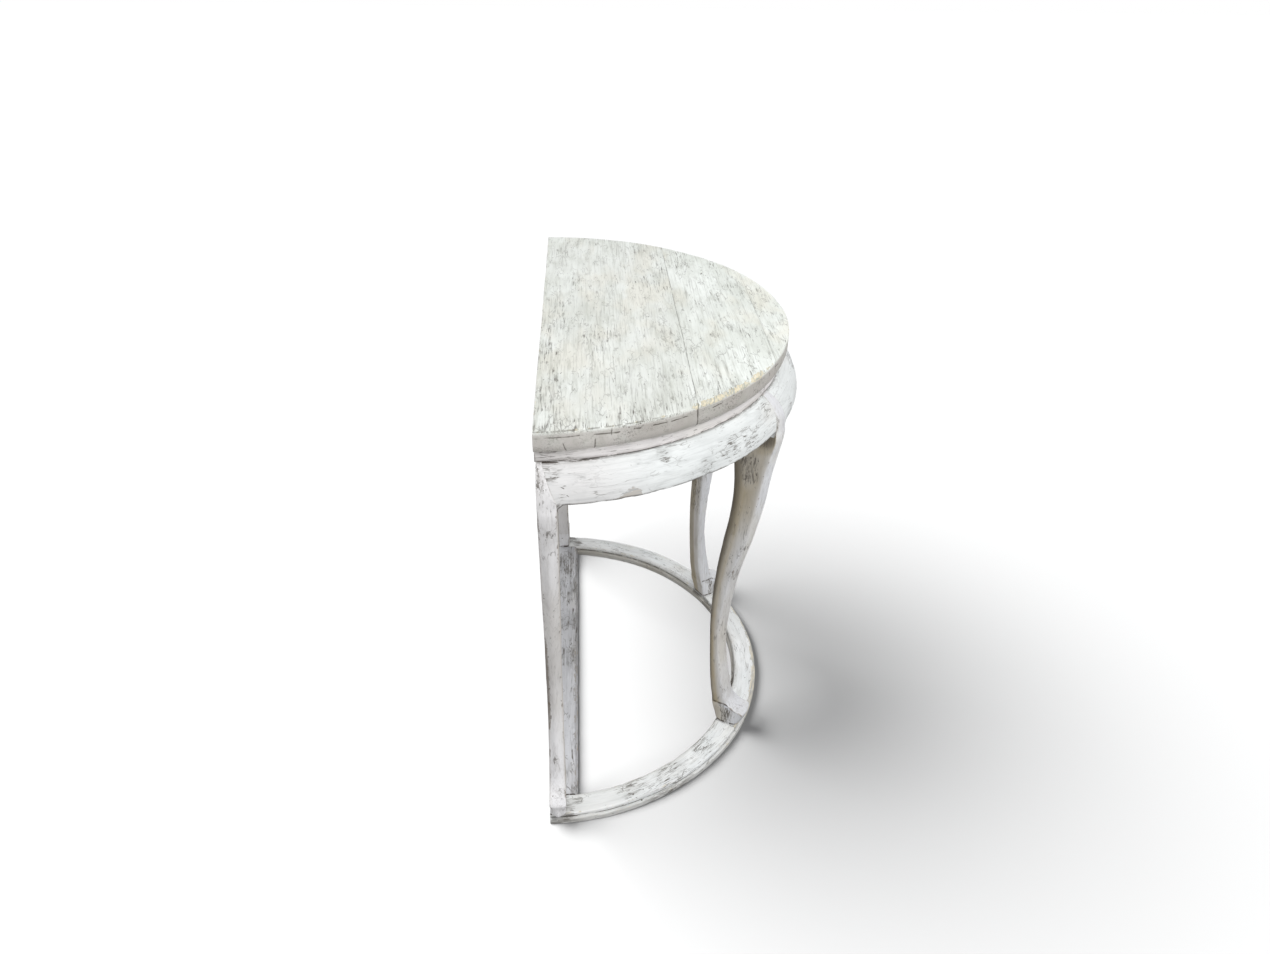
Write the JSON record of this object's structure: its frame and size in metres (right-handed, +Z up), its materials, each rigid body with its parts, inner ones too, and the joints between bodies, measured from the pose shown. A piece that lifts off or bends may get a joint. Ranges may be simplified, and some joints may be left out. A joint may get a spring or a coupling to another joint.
{
  "type": "demilune table",
  "caption": "Half-round side table in distressed white paint, with a bulging curved apron, S-curved legs and a D-shaped floor stretcher, made to stand with its flat back to a wall.",
  "frame": {"origin": "centre of the table's box at floor level", "axes": "+X along the width, -Y towards the curved front, +Y towards the flat back, +Z up"},
  "size_m": [0.9536, 0.474, 0.845],
  "materials": {
    "old_paint": "worn off-white paint over old wood, matt",
    "bare_wood": "unpainted aged wood, matt"
  },
  "bodies": {
    "root": {"top_plank_back": "old_paint", "top_plank_middle": "old_paint", "top_plank_front": "old_paint", "top_batten_left": "bare_wood", "top_batten_right": "bare_wood", "waist_left": "old_paint", "waist_front": "old_paint", "waist_right": "old_paint", "waist_back": "old_paint", "apron_left": "old_paint", "apron_front": "old_paint", "apron_right": "old_paint", "apron_back": "old_paint", "leg_front_left": "old_paint", "leg_front_right": "old_paint", "leg_back_left": "old_paint", "leg_back_right": "old_paint", "stretcher_left": "old_paint", "stretcher_front": "old_paint", "stretcher_right": "old_paint", "stretcher_back": "old_paint"}
  },
  "joints": []
}
